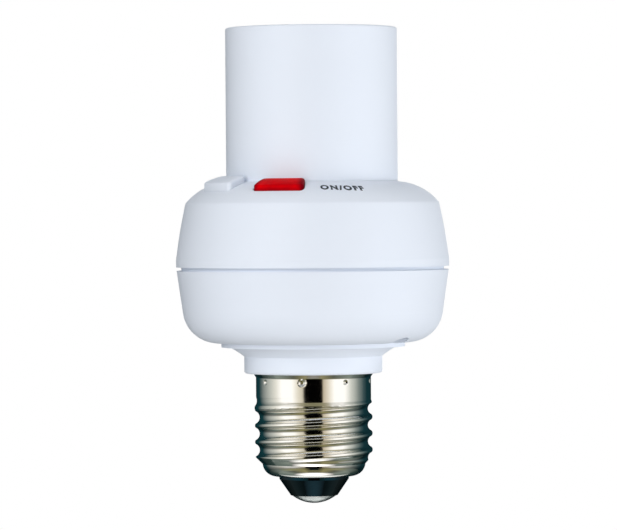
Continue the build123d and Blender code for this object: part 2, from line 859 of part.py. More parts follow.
housing_screws = make_screws(
    screw_places,
    counterbore_seat,
    (screw_head_radius, screw_head_height),
    (screw_shank_radius, screw_length),
)
finish(housing_screws, "housing_screws")
board_screws = make_screws(
    board_post_places,
    board_bottom,
    (board_screw_head_radius, board_screw_head_height),
    (board_screw_radius, board_screw_length),
)
finish(board_screws, "board_screws")


def make_switch(azimuth):
    """A push switch's body with the well that its stem slides in, turned to face the axis."""
    angle = angle_of(azimuth)
    place = on_circle(key_middle, azimuth)
    with BuildPart() as switch:
        with BuildSketch(Plane(origin=(*place, board_top), x_dir=Vector(1, 0, 0).rotate(Axis.Z, angle))):
            Rectangle(switch_side, switch_side)
        extrude(amount=switch_height)
        chamfer(switch.edges().filter_by(Axis.Z), switch_corner)
        with BuildSketch(Plane(origin=(*place, board_top + switch_height))):
            Circle(switch_stem_radius + slip)
        extrude(amount=-(switch_stem_sunk + key_travel + key_gap), mode=Mode.SUBTRACT)
    return switch


def make_switch_stem(azimuth):
    """The stem of a push switch, which meets the key's post."""
    place = on_circle(key_middle, azimuth)
    with BuildPart() as stem:
        with BuildSketch(Plane(origin=(*place, switch_top))):
            Circle(switch_stem_radius)
        extrude(amount=-(switch_stem_proud + switch_stem_sunk))
    return stem


for switch_name, switch_azimuth in (("on_off", on_off_switch_azimuth), ("learn", learn_azimuth)):
    finish(make_switch(switch_azimuth), f"{switch_name}_switch")
    finish(make_switch_stem(switch_azimuth), f"{switch_name}_switch_stem")

# Indicator under the red key: a flanged lens with a domed top
led_place = on_circle(key_middle, on_off_azimuth + led_offset_angle)
with BuildPart() as indicator_led:
    with BuildSketch(Plane(origin=(*led_place, board_top))):
        Circle(led_flange_radius)
    extrude(amount=led_flange_height)
    with BuildSketch(Plane(origin=(*led_place, board_top))):
        Circle(led_radius)
    extrude(amount=led_height - led_radius)
    with Locations((*led_place, board_top + led_height - led_radius)):
        Sphere(led_radius)
finish(indicator_led, "indicator_led")


def make_block(size, place, height, up):
    """A moulded component with softened upright edges, standing on or hanging from the board."""
    with BuildPart() as block:
        with BuildSketch(Plane.XY.offset(height)):
            with Locations(place):
                RectangleRounded(size[0], size[1], component_edge)
        extrude(amount=size[2] if up else -size[2])
    return block


finish(make_block(relay_size, relay_place, board_bottom, False), "relay")
finish(make_block(film_capacitor_size, film_capacitor_place, board_bottom, False), "film_capacitor")
finish(make_block(rectifier_size, rectifier_place, board_bottom, False), "rectifier")
finish(make_block(chip_size, chip_place, board_top, True), "controller_chip")
finish(make_block(header_size, header_place, board_top, True), "receiver_header")
receiver_bottom = board_top + header_size[2]
receiver_top = receiver_bottom + receiver_size[2]
finish(make_block(receiver_size, receiver_place, receiver_bottom, True), "receiver_board")
finish(make_block(receiver_can_size, receiver_can_place, receiver_top, True), "receiver_can")

# Smoothing capacitor: a can with a crimped ring near its foot
with BuildPart() as electrolytic_capacitor:
    with BuildSketch(Plane(origin=(*electrolytic_place, board_bottom))):
        Circle(electrolytic_radius)
    extrude(amount=-electrolytic_height)
    with Locations((*electrolytic_place, board_bottom - crimp_height)):
        Torus(electrolytic_radius, crimp_radius, mode=Mode.SUBTRACT)
finish(electrolytic_capacitor, "electrolytic_capacitor")

# Surge arrester: a coated disc on two wires
varistor_height = board_bottom - component_wire_length - varistor_radius
with BuildPart() as varistor:
    with BuildSketch(Plane(origin=(*varistor_place, varistor_height), x_dir=(1, 0, 0), z_dir=(0, -1, 0))):
        Circle(varistor_radius)
    extrude(amount=varistor_thickness / 2, both=True)
    with BuildSketch(Plane(origin=(*varistor_place, varistor_height))):
        with GridLocations(varistor_radius, 0, 2, 1):
            Circle(component_wire_radius)
    extrude(amount=board_bottom - varistor_height)
finish(varistor, "varistor")

# Fusible resistor: a coated rod whose wires bend up into the board
resistor_height = board_bottom - resistor_radius - seat
resistor_ends = (resistor_place[0] - resistor_length / 2, resistor_place[0] + resistor_length / 2)
with BuildPart() as fusible_resistor:
    with BuildSketch(Plane(origin=(resistor_ends[0], resistor_place[1], resistor_height), z_dir=(1, 0, 0))):
        Circle(resistor_radius)
    extrude(amount=resistor_length)
    for end, outward in zip(resistor_ends, (-1, 1)):
        bend = end + outward * resistor_radius
        with BuildLine() as wire_path:
            FilletPolyline(
                (end, resistor_place[1], resistor_height),
                (bend, resistor_place[1], resistor_height),
                (bend, resistor_place[1], board_bottom),
                radius=resistor_radius / 2,
            )
        with BuildSketch(Plane(origin=wire_path.line @ 0, z_dir=wire_path.line % 0)):
            Circle(component_wire_radius)
        sweep(path=wire_path.line)
finish(fusible_resistor, "fusible_resistor")


def make_wire(points, radius, bend):
    """A round wire along straight runs joined by arcs."""
    with BuildPart() as wire:
        with BuildLine() as path:
            FilletPolyline(*points, radius=bend)
        with BuildSketch(Plane(origin=path.line @ 0, z_dir=path.line % 0)):
            Circle(radius)
        sweep(path=path.line)
    return wire


antenna_points = (
    (*antenna_place, receiver_top),
    (*antenna_place, receiver_top + antenna_rise),
    (antenna_place[0] - antenna_run, antenna_place[1], receiver_top + antenna_rise),
)
finish(make_wire(antenna_points, antenna_radius, antenna_rise / 2), "antenna")

# Leads from the cap up through the neck to the board
shank_bore_bottom = contact_height + shank_length - shank_bore_depth
cap_live_points = (
    (0, 0, shank_bore_bottom),
    (0, 0, thread_full + thread_pitch),
    (*cap_live_neck_place, spigot_bottom),
    (*cap_live_board_place, flange_top),
    (*cap_live_board_place, board_bottom),
)
finish(make_wire(cap_live_points, lead_radius, cap_live_bend), "cap_live_lead")
cap_lead_height = spigot_bottom - 2 * thread_pitch
cap_neutral_joint = thread_bore - slip
cap_neutral_points = (
    (0, cap_neutral_joint, cap_lead_height),
    (0, cap_neutral_joint - cap_neutral_reach, cap_lead_height),
    (*cap_neutral_neck_place, collar_bottom),
    (*cap_neutral_board_place, bowl_floor + wall),
    (*cap_neutral_board_place, board_bottom),
)
finish(make_wire(cap_neutral_points, lead_radius, cap_neutral_bend), "cap_neutral_lead")

# Leads from the board to the socket's rivets
rivet_foot = floor_bottom - rivet_head_height


def lamp_lead_points(rivet_place, board_place):
    """Route of a lead from a rivet's lower head to the board: down, across and down."""
    drop = (rivet_foot - board_top) / 3
    return (
        (*rivet_place, rivet_foot),
        (*rivet_place, rivet_foot - drop),
        (*board_place, board_top + drop),
        (*board_place, board_top),
    )


lamp_live_points = lamp_lead_points(rivet_places[0], lamp_live_board_place)
finish(make_wire(lamp_live_points, lead_radius, lamp_lead_bend), "lamp_live_lead")
lamp_neutral_points = lamp_lead_points(rivet_places[1], lamp_neutral_board_place)
finish(make_wire(lamp_neutral_points, lead_radius, lamp_lead_bend), "lamp_neutral_lead")
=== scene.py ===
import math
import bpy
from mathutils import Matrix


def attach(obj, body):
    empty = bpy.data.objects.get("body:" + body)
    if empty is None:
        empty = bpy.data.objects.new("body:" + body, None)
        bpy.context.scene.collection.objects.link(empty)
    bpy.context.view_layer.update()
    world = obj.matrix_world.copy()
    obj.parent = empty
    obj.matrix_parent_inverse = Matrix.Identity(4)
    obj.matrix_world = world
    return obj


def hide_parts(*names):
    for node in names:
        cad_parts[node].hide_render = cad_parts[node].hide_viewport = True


bl_info = {
    "name": "Remote control lamp holder",
    "version": (1, 0, 0),
    "blender": (4, 5, 0),
    "location": "View3D > Sidebar > Lamp holder",
    "description": "Dresses a screw-in lamp holder with its finishes, thread, print and studio",
    "category": "Object",
}

import bmesh
import bpy
from mathutils import Euler, Matrix, Vector

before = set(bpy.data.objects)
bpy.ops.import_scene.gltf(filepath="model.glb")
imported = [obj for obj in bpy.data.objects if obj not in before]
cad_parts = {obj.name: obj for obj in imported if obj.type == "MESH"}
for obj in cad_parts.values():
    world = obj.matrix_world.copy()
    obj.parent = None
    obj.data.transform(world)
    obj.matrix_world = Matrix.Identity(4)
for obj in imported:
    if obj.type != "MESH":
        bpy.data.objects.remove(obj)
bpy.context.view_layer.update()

MM = 0.001
FULL_TURN = 2 * math.pi


def linear(code):
    """Turn an sRGB hex colour into linear red, green, blue and alpha."""
    channels = [int(code[place : place + 2], 16) / 255 for place in (1, 3, 5)]
    return tuple(c / 12.92 if c <= 0.04045 else ((c + 0.055) / 1.055) ** 2.4 for c in channels) + (1.0,)


def size(name, description, millimetres):
    """A length that a user may change, given in millimetres."""
    return bpy.props.FloatProperty(
        name=name, description=description, default=millimetres * MM, unit="LENGTH", precision=5
    )


def turn(name, description, degrees):
    """An angle that a user may change, given in degrees."""
    return bpy.props.FloatProperty(
        name=name, description=description, default=math.radians(degrees), subtype="ANGLE"
    )


def count(name, description, number):
    """A whole number that a user may change."""
    return bpy.props.IntProperty(name=name, description=description, default=number, min=0)


def colour(name, description, code):
    """A colour that a user may change, given as an sRGB hex value."""
    return bpy.props.FloatVectorProperty(
        name=name, description=description, default=linear(code), size=4, subtype="COLOR", min=0, max=1
    )


class CapSizes(bpy.types.PropertyGroup):
    """Sizes of the cap's screw shell, which follow the solid model"""

    foot_height: size("Foot height", "Height of the shell's foot above the tip contact", 6.05)
    foot_radius: size("Foot radius", "Outer radius of the shell's foot", 11.4)
    foot_land: size("Foot land", "Width of the flat ring round the insulator", 0.7)
    foot_length: size("Foot length", "Height of the foot below the thread", 2.7)
    mouth_radius: size("Mouth radius", "Radius of the hole round the insulator", 7.8)
    taper_length: size("Taper length", "Height over which the thread comes to its full radius", 1.65)
    crest_radius: size("Crest radius", "Outer radius of the thread", 13.1)
    root_radius: size("Root radius", "Radius at the bottom of the thread's groove", 12.0)
    pitch: size("Pitch", "Height of one turn of the thread", 3.629)
    band_radius: size("Band radius", "Radius of the plain band above the thread", 12.75)
    band_length: size("Band length", "Height of the plain band", 6.0)
    lip_radius: size("Lip radius", "Radius of the flared lip", 13.35)
    lip_height: size("Lip height", "Height of the flare", 0.9)
    length: size("Length", "Height of the whole shell", 22.8)
    sheet: size("Sheet", "Thickness of the sheet", 0.4)
    top_drop: size("Thread top", "Drop from the band to the end of the full thread", 2.0)
    runout_rise: size("Run-out rise", "How far the groove rises out as it ends", 0.9)
    turns: count("Turns", "Turns of full thread", 4)
    wide_stake_radius: size("Wide stake", "Radius of a wide stake", 0.85)
    wide_stake_depth: size("Wide stake depth", "Depth of a wide stake", 0.45)
    narrow_stake_radius: size("Narrow stake", "Radius of a narrow stake", 0.5)
    narrow_stake_depth: size("Narrow stake depth", "Depth of a narrow stake", 0.35)
    stake_drop: size("Stake drop", "Drop from the lip to the middle of the stakes", 1.75)
    stake_azimuth: turn("Stake azimuth", "Place of the first wide stake, from the front", -11.5)
    stake_pairs: count("Stake pairs", "Pairs of a wide and a narrow stake", 4)


class PrintSizes(bpy.types.PropertyGroup):
    """Sizes of the words on the shoulder"""

    words: bpy.props.StringProperty(name="Words", description="What the red key does", default="ON/OFF")
    length: size("Length", "Length of the words along the shoulder", 9.6)
    height: size("Height", "Height of the capitals", 2.15)
    azimuth: turn("Azimuth", "Place of the words' middle, from the front", 15.6)
    tilt: turn("Tilt", "How far the line of words is turned on the shoulder", 4.0)
    dome_radius: size("Dome radius", "Radius of the shoulder's arc", 12.4)
    dome_reach: size("Dome reach", "Distance of the arc's centre from the axis", 18.409)
    dome_height: size("Dome height", "Height of the arc's centre", 58.764)
    dome_angle: turn("Dome angle", "Slope of the shoulder at the words", 27.8)
    film: size("Film", "Thickness of the ink", 0.03)


class KeySizes(bpy.types.PropertyGroup):
    """Where the red key lies, which follows the solid model"""

    azimuth: turn("Azimuth", "Place of the red key's middle, from the front", -17.7)
    half_angle: turn("Half angle", "Half of the angle that the key spans", 13.4)
    reach: size("Reach", "Distance of the key's outer edge from the axis", 25.05)
    foot: size("Foot", "Height where the key's outer side meets the shoulder", 69.24)
    # Widths over which painted shade darkens the red key to its ends and to its foot
    end_shade_width: size("End width", "Width over which the key darkens to its ends", 2.0)
    foot_shade_width: size("Rim width", "Width over which the key darkens to its foot", 0.9)


class Colours(bpy.types.PropertyGroup):
    """Colours of the finishes"""

    housing: colour("Housing", "White moulding", "#E6EDF8")
    red_key: colour("Red key", "Body of the red key", "#DC0008")
    # Painted shade: the red key darkens towards this colour at its ends and foot, standing in for light seen
    # through more plastic and the shade where it meets the shoulder
    red_key_shade: colour("Red rim", "Edges of the red key, seen through more plastic", "#800010")
    nickel: colour("Nickel", "Plated sheet of the cap and the socket", "#EEEBE4")
    solder: colour("Solder", "Tip contact of the cap", "#C6C9C6")
    insulator: colour("Insulator", "Black glass of the cap", "#040405")
    ink: colour("Ink", "Words on the shoulder", "#18232E")
    liner: colour("Liner", "Heat-resistant cup in the tube", "#DAD8CE")
    bronze: colour("Bronze", "Sprung contact for the lamp", "#C79A5B")
    zinc: colour("Zinc", "Screws and rivets", "#B9BCC0")


class StageSizes(bpy.types.PropertyGroup):
    """Where the camera and the studio stand"""

    camera_distance: size("Camera distance", "Distance of the camera from the axis", 910.0)
    camera_height: size("Camera height", "Height of the camera above the tip contact", 65.3)
    camera_side: size("Camera side", "How far the camera stands to the left of the axis", 0.91)
    camera_pitch: turn("Camera pitch", "How far the camera looks down", 0.79)
    camera_roll: turn("Camera roll", "How far the camera is turned about its own view", 0.42)
    lens: bpy.props.FloatProperty(name="Lens", description="Focal length in millimetres", default=239.6)
    floor_drop: size("Floor drop", "Depth of the floor below the tip contact", 1500.0)
    floor_lift: bpy.props.FloatProperty(
        name="Floor lift", description="Light that brings the floor up to white for the camera", default=0.74
    )


class LampHolder(bpy.types.PropertyGroup):
    """Everything that a user may change"""

    cap: bpy.props.PointerProperty(type=CapSizes)
    words: bpy.props.PointerProperty(type=PrintSizes)
    red_key: bpy.props.PointerProperty(type=KeySizes)
    colours: bpy.props.PointerProperty(type=Colours)
    stage: bpy.props.PointerProperty(type=StageSizes)


def add_node(tree, kind, values=None, links=None, **settings):
    """Add a node.

    settings are its own fields, values fill its sockets and links plug other sockets into it.
    """
    node = tree.nodes.new(kind)
    for field, value in settings.items():
        setattr(node, field, value)
    for socket, value in (values or {}).items():
        node.inputs[socket].default_value = value
    for socket, source in (links or {}).items():
        tree.links.new(source, node.inputs[socket])
    return node


def new_material(name, **values):
    """Add a material and set its shader's sockets.

    Return it with its nodes, its shader and its coordinates.
    """
    material = bpy.data.materials.new(name)
    material.use_nodes = True
    tree = material.node_tree
    shader = tree.nodes["Principled BSDF"]
    for socket, value in values.items():
        shader.inputs[socket.replace("_", " ")].default_value = value
    place = add_node(tree, "ShaderNodeTexCoord").outputs["Object"]
    return material, tree, shader, place


# Sockets of a node that mixes colours: the two colours and the mix of them
FIRST_COLOUR, SECOND_COLOUR, MIXED_COLOUR = 6, 7, 2


def mottle(tree, shader, place, base, grain, spread):
    """Vary a base colour by this share in patches of this size in metres."""
    noise = add_node(tree, "ShaderNodeTexNoise", {"Scale": 1 / grain, "Detail": 3.0}, {"Vector": place})
    low = [channel * (1 - spread) for channel in base[:3]] + [1.0]
    high = [min(1.0, channel * (1 + spread)) for channel in base[:3]] + [1.0]
    blend = add_node(
        tree,
        "ShaderNodeMix",
        {FIRST_COLOUR: low, SECOND_COLOUR: high},
        {0: noise.outputs["Fac"]},
        data_type="RGBA",
    )
    tree.links.new(blend.outputs[MIXED_COLOUR], shader.inputs["Base Color"])


def grain_bump(tree, shader, place, grain, depth):
    """Raise a fine grain of this size and depth, both in metres."""
    noise = add_node(tree, "ShaderNodeTexNoise", {"Scale": 1 / grain, "Detail": 2.0}, {"Vector": place})
    bump = add_node(
        tree, "ShaderNodeBump", {"Strength": 1.0, "Distance": depth}, {"Height": noise.outputs["Fac"]}
    )
    tree.links.new(bump.outputs["Normal"], shader.inputs["Normal"])


def vary_roughness(tree, shader, place, grain, low, high):
    """Let the gloss vary between two roughnesses in patches of this size in metres."""
    noise = add_node(tree, "ShaderNodeTexNoise", {"Scale": 1 / grain, "Detail": 2.0}, {"Vector": place})
    scale = add_node(
        tree, "ShaderNodeMapRange", {"To Min": low, "To Max": high}, {"Value": noise.outputs["Fac"]}
    )
    tree.links.new(scale.outputs["Result"], shader.inputs["Roughness"])


def white_abs(base):
    """ABS moulded in a spark-eroded tool: a cool white, evenly matt, with a soft wide sheen."""
    material, tree, shader, place = new_material("abs_spark_eroded", IOR=1.53)
    mottle(tree, shader, place, base, grain=9 * MM, spread=0.012)
    vary_roughness(tree, shader, place, grain=4 * MM, low=0.46, high=0.54)
    # The real grain is about 0.1 mm; it is drawn at 0.35 mm so that it shows
    grain_bump(tree, shader, place, grain=0.35 * MM, depth=0.004 * MM)
    return material


# How far the painted shade darkens the red key at its foot, where its ends count as 1
FOOT_SHADE = 0.55
# Clouds and painted shade of the red key added up: where the body's colour ends and where the shade's colour
# is full
RED_RANGE = (0.35, 1.5)


def red_key_shade_mask(tree, place, key):
    """A mask of painted shade that is 0 inside the red key and rises to its ends and to its foot."""
    axes = add_node(tree, "ShaderNodeSeparateXYZ", None, {0: place})
    ahead = add_node(tree, "ShaderNodeMath", {1: -1.0}, {0: axes.outputs["Y"]}, operation="MULTIPLY")
    azimuth = add_node(
        tree, "ShaderNodeMath", None, {0: axes.outputs["X"], 1: ahead.outputs[0]}, operation="ARCTAN2"
    )
    aside = add_node(tree, "ShaderNodeMath", {1: key.azimuth}, {0: azimuth.outputs[0]}, operation="SUBTRACT")
    spread = add_node(tree, "ShaderNodeMath", None, {0: aside.outputs[0]}, operation="ABSOLUTE")
    ends = add_node(
        tree,
        "ShaderNodeMapRange",
        {"From Min": key.half_angle - key.end_shade_width / key.reach, "From Max": key.half_angle},
        {"Value": spread.outputs[0]},
        interpolation_type="SMOOTHSTEP",
    )
    foot = add_node(
        tree,
        "ShaderNodeMapRange",
        {"From Min": key.foot + key.foot_shade_width, "From Max": key.foot, "To Max": FOOT_SHADE},
        {"Value": axes.outputs["Z"]},
        interpolation_type="SMOOTHSTEP",
    )
    edges = add_node(
        tree, "ShaderNodeMath", None, {0: ends.outputs[0], 1: foot.outputs[0]}, operation="MAXIMUM"
    )
    return edges.outputs[0]


def red_polycarbonate(body, rim, key):
    """Polycarbonate dyed red and moulded in a fine matt tool: clear and deep, with painted shade darker to
    its ends and foot.
    """
    material, tree, shader, place = new_material(
        "polycarbonate_moulded",
        IOR=1.58,
        Roughness=0.4,
        Specular_IOR_Level=0.008,
        Subsurface_Weight=0.2,
        Subsurface_Scale=1 * MM,
    )
    cloud = add_node(tree, "ShaderNodeTexNoise", {"Scale": 1 / (2.5 * MM), "Detail": 2.0}, {"Vector": place})
    # Random clouds plus the painted shade at the key's ends and foot: how far the body's colour goes towards
    # the shade's
    depth = add_node(
        tree,
        "ShaderNodeMath",
        None,
        {0: cloud.outputs["Fac"], 1: red_key_shade_mask(tree, place, key)},
        operation="ADD",
    )
    share = add_node(
        tree,
        "ShaderNodeMapRange",
        {"From Min": RED_RANGE[0], "From Max": RED_RANGE[1]},
        {"Value": depth.outputs[0]},
    )
    blend = add_node(
        tree,
        "ShaderNodeMix",
        {FIRST_COLOUR: tuple(body), SECOND_COLOUR: tuple(rim)},
        {0: share.outputs["Result"]},
        data_type="RGBA",
    )
    tree.links.new(blend.outputs[MIXED_COLOUR], shader.inputs["Base Color"])
    return material


def bright_nickel(base):
    """Steel sheet rolled and plated with bright nickel: a warm mirror with slight waves from the rolls."""
    material, tree, shader, place = new_material("nickel_rolled_bright", Metallic=1.0)
    mottle(tree, shader, place, base, grain=5 * MM, spread=0.03)
    vary_roughness(tree, shader, place, grain=1.5 * MM, low=0.07, high=0.13)
    grain_bump(tree, shader, place, grain=2.5 * MM, depth=0.002 * MM)
    return material


def tinned_brass(base):
    """Brass tipped with solder and ground to a dome: a dull silver, pitted and streaked."""
    material, tree, shader, place = new_material("brass_solder_tipped", Metallic=1.0)
    mottle(tree, shader, place, base, grain=0.7 * MM, spread=0.12)
    vary_roughness(tree, shader, place, grain=0.9 * MM, low=0.16, high=0.34)
    grain_bump(tree, shader, place, grain=0.8 * MM, depth=0.05 * MM)
    return material


def black_glass(base):
    """Black glass pressed into the cap while soft: deep, with a sharp gloss tinted bluish as painted
    reflection colour, and slow waves.
    """
    # The bluish specular tint is painted reflection colour: the white patch below the cap comes back bluish
    # from the glass
    material, tree, shader, place = new_material(
        "black_glass_pressed", IOR=1.52, Specular_IOR_Level=0.42, Specular_Tint=linear("#64CCEC")
    )
    mottle(tree, shader, place, base, grain=2 * MM, spread=0.3)
    vary_roughness(tree, shader, place, grain=2 * MM, low=0.05, high=0.12)
    grain_bump(tree, shader, place, grain=3 * MM, depth=0.02 * MM)
    return material


def print_ink(base):
    """Ink pad-printed on the moulding: dark, flat and slightly uneven."""
    material, tree, shader, place = new_material("ink_pad_printed", IOR=1.48, Roughness=0.6)
    mottle(tree, shader, place, base, grain=0.6 * MM, spread=0.12)
    return material


def plain_plastic(name, base, roughness, grain):
    """A plastic or a coat of it, with patches of colour and gloss of this size in metres."""
    material, tree, shader, place = new_material(name, IOR=1.5)
    mottle(tree, shader, place, base, grain, spread=0.05)
    vary_roughness(tree, shader, place, grain, low=roughness * 0.9, high=roughness * 1.1)
    return material


def plain_metal(name, base, roughness, grain):
    """A worked metal with patches of colour and gloss of this size in metres."""
    material, tree, shader, place = new_material(name, Metallic=1.0)
    mottle(tree, shader, place, base, grain, spread=0.06)
    vary_roughness(tree, shader, place, grain, low=roughness * 0.8, high=roughness * 1.2)
    return material


def dress(node, material):
    """Give a node of the solid model its finish."""
    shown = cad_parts[node]
    shown.data.materials.clear()
    shown.data.materials.append(material)


# Edges that turn by more than this stay sharp
SHARP_ANGLE = math.radians(35)


def new_piece(name, shape, material):
    """Make an object from a finished shape, smooth but for its sharp edges."""
    mesh = bpy.data.meshes.new(name)
    bmesh.ops.recalc_face_normals(shape, faces=shape.faces)
    shape.to_mesh(mesh)
    shape.free()
    mesh.shade_smooth()
    mesh.set_sharp_from_angle(angle=SHARP_ANGLE)
    mesh.materials.append(material)
    piece = bpy.data.objects.new(name, mesh)
    bpy.context.scene.collection.objects.link(piece)
    return piece


# Steps of one turn round the shell
SPIN_STEPS = 360


def spun_shape(outside, inside, wall_radius):
    """Spin the two sides of a closed half section about the axis.

    wall_radius moves each point of the outside in or out by its place.
    """
    shape = bmesh.new()
    rings = []
    for point, (radius, height) in enumerate(outside + inside):
        ring = []
        for step in range(SPIN_STEPS):
            angle = FULL_TURN * step / SPIN_STEPS
            reach = wall_radius(radius, angle, height) if point < len(outside) else radius
            ring.append(shape.verts.new((reach * math.cos(angle), reach * math.sin(angle), height)))
        rings.append(ring)
    for lower, upper in zip(rings, rings[1:] + rings[:1]):
        for step in range(SPIN_STEPS):
            after = (step + 1) % SPIN_STEPS
            shape.faces.new((lower[step], lower[after], upper[after], upper[step]))
    return shape


def divided(points, spacing):
    """The same open line with points no further apart than this."""
    line = [points[0]]
    for start, end in zip(points, points[1:]):
        pieces = max(1, math.ceil(math.dist(start, end) / spacing))
        for piece in range(1, pieces + 1):
            share = piece / pieces
            line.append(tuple(a + (b - a) * share for a, b in zip(start, end)))
    return line


def foot_bend(start, end, steps):
    """Points of the arc in the section plane that leaves start level and bends up to end."""
    across = end[0] - start[0]
    rise = end[1] - start[1]
    radius = (across**2 + rise**2) / (2 * rise)
    sweep = math.atan2(across, radius - rise)
    angles = [sweep * step / steps for step in range(steps + 1)]
    return [(start[0] + radius * math.sin(a), start[1] + radius * (1 - math.cos(a))) for a in angles]


# Part of the thread's two arcs that its crests take
CREST_SHARE = 0.27
# Width of the soft change from the wall into the thread
THREAD_BLEND = 0.25 * MM
# Turns over which the groove rises out at its end
RUNOUT_TURNS = 0.75


def thread_radius(cap, angle, height):
    """Radius of the rolled thread: narrow beads between wide hollows, or None where it has ended."""
    depth = cap.crest_radius - cap.root_radius
    # Crest and root are arcs that meet in one slope, and this is the sum of their radii
    arcs = (cap.pitch**2 / 4 + depth**2) / (2 * depth)
    crest_arc = CREST_SHARE * arcs
    root_arc = arcs - crest_arc
    band_bottom = cap.foot_height + cap.length - cap.band_length
    start = band_bottom - cap.top_drop - cap.turns * cap.pitch
    turns = (height - start) / cap.pitch - angle / FULL_TURN
    nearest = round(turns)
    travelled = nearest + angle / FULL_TURN - cap.turns
    if travelled > RUNOUT_TURNS or nearest + angle / FULL_TURN < 0:
        return None
    lift = max(0.0, travelled) / RUNOUT_TURNS * cap.runout_rise
    away = abs(turns - nearest) * cap.pitch
    if away < root_arc * cap.pitch / 2 / arcs:
        return cap.root_radius + root_arc - math.sqrt(root_arc**2 - away**2) + lift
    beyond = cap.pitch / 2 - away
    return cap.crest_radius - crest_arc + math.sqrt(crest_arc**2 - beyond**2) + lift


def stake_list(cap):
    """Each stake as its azimuth angle, its ball's radius and the ball's distance from the axis."""
    stakes = []
    for pair in range(cap.stake_pairs):
        for half, radius, depth in (
            (0.0, cap.wide_stake_radius, cap.wide_stake_depth),
            (0.5, cap.narrow_stake_radius, cap.narrow_stake_depth),
        ):
            ball = (radius**2 + depth**2) / (2 * depth)
            angle = cap.stake_azimuth + FULL_TURN * (pair + half) / cap.stake_pairs - math.pi / 2
            stakes.append((angle, ball, cap.band_radius - depth + ball))
    return stakes


def cap_wall(cap):
    """Make the function that rolls the thread and presses the stakes into the shell's outer wall."""
    stakes = stake_list(cap)
    stake_height = cap.foot_height + cap.length - cap.stake_drop

    def wall(radius, angle, height):
        thread = thread_radius(cap, angle, height)
        if thread is not None:
            # The smaller of the two radii, with a soft change from one to the other
            overlap = max(THREAD_BLEND - abs(radius - thread), 0.0)
            radius = min(radius, thread) - overlap**2 / (4 * THREAD_BLEND)
        for stake_angle, ball, reach in stakes:
            rise = height - stake_height
            across = reach * math.sin(angle - stake_angle)
            inside = ball**2 - rise**2 - across**2
            if inside > 0 and math.cos(angle - stake_angle) > 0:
                radius = min(radius, reach * math.cos(angle - stake_angle) - math.sqrt(inside))
        return radius

    return wall


# Steps of the foot's bend on the shell's two sides
OUTER_BEND_STEPS = 24
INNER_BEND_STEPS = 12
# Distance between the points of the shell's section, along the thread and along the band with its stakes
THREAD_SPACING = 0.085 * MM
BAND_SPACING = 0.15 * MM


def shell_outside(cap):
    """Outer side of the shell's half section, from the hole in its foot up to its lip."""
    top = cap.foot_height + cap.length
    thread_bottom = cap.foot_height + cap.foot_length
    band_bottom = top - cap.band_length
    land = (cap.mouth_radius + cap.foot_land, cap.foot_height)
    line = [(cap.mouth_radius, cap.foot_height)]
    line += foot_bend(land, (cap.foot_radius, thread_bottom), OUTER_BEND_STEPS)
    line += divided(
        [
            line.pop(),
            (cap.crest_radius, thread_bottom + cap.taper_length),
            (cap.crest_radius, band_bottom - cap.pitch / 4),
            (cap.band_radius, band_bottom),
        ],
        THREAD_SPACING,
    )
    line += divided(
        [line.pop(), (cap.band_radius, top - cap.lip_height), (cap.lip_radius, top)], BAND_SPACING
    )
    return line


def shell_inside(cap):
    """Inner side of the shell's half section, from its lip down to the hole in its foot."""
    top = cap.foot_height + cap.length
    thread_bottom = cap.foot_height + cap.foot_length
    band_bottom = top - cap.band_length
    floor = cap.foot_height + cap.sheet
    foot_radius = cap.foot_radius - cap.sheet
    root_radius = cap.root_radius - cap.sheet
    band_radius = cap.band_radius - cap.sheet
    taper = cap.taper_length * (root_radius - foot_radius) / (cap.crest_radius - cap.foot_radius)
    line = [
        (cap.lip_radius - cap.sheet, top),
        (band_radius, top - cap.lip_height),
        (band_radius, band_bottom),
        (root_radius, band_bottom - cap.sheet),
        (root_radius, thread_bottom + taper),
    ]
    land = (cap.mouth_radius + cap.foot_land, floor)
    line += reversed(foot_bend(land, (foot_radius, thread_bottom), INNER_BEND_STEPS))
    line.append((cap.mouth_radius, floor))
    return line


class LAMPHOLDER_OT_cap_shell(bpy.types.Operator):
    """Roll the cap's screw shell: thread, plain band, flared lip and stakes"""

    bl_idname = "lamp_holder.cap_shell"
    bl_label = "Cap shell"

    def execute(self, context):
        holder = context.scene.lamp_holder
        cap = holder.cap
        shape = spun_shape(shell_outside(cap), shell_inside(cap), cap_wall(cap))
        shell = new_piece("rolled_cap_shell", shape, bright_nickel(holder.colours.nickel))
        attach(shell, "housing")
        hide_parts("cap_shell")
        return {"FINISHED"}


class LAMPHOLDER_OT_cap_tip(bpy.types.Operator):
    """Finish the cap's black insulator and its tip contact"""

    bl_idname = "lamp_holder.cap_tip"
    bl_label = "Cap tip"

    def execute(self, context):
        colours = context.scene.lamp_holder.colours
        dress("cap_insulator", black_glass(colours.insulator))
        dress("cap_contact", tinned_brass(colours.solder))
        return {"FINISHED"}


class LAMPHOLDER_OT_housings(bpy.types.Operator):
    """Finish the two white housings"""

    bl_idname = "lamp_holder.housings"
    bl_label = "Housings"

    def execute(self, context):
        white = white_abs(context.scene.lamp_holder.colours.housing)
        for node in ("upper_housing", "lower_housing"):
            dress(node, white)
        return {"FINISHED"}


class LAMPHOLDER_OT_keys(bpy.types.Operator):
    """Finish the red key and the white key"""

    bl_idname = "lamp_holder.keys"
    bl_label = "Keys"

    def execute(self, context):
        holder = context.scene.lamp_holder
        colours = holder.colours
        # The red key gets its body colour and the painted shade that darkens its ends and foot
        dress("on_off_key", red_polycarbonate(colours.red_key, colours.red_key_shade, holder.red_key))
        dress("learn_key", white_abs(colours.housing))
        return {"FINISHED"}


# The words are heavier than the built-in font: each stroke grows on both sides by this part of its size
BOLD_OFFSET = 0.05
# They are also set wider than the font sets them, by this factor
LETTER_SPACING = 1.28
# Half of the letters' thickness before they are laid on the shoulder, which only parts their two sides
LETTER_DEPTH = 0.5
# Points of the letters that are nearer than this become one
WELD_DISTANCE = 1e-5
# Strips that the words are cut into, so that they bend with the shoulder
WORD_STRIPS = 40


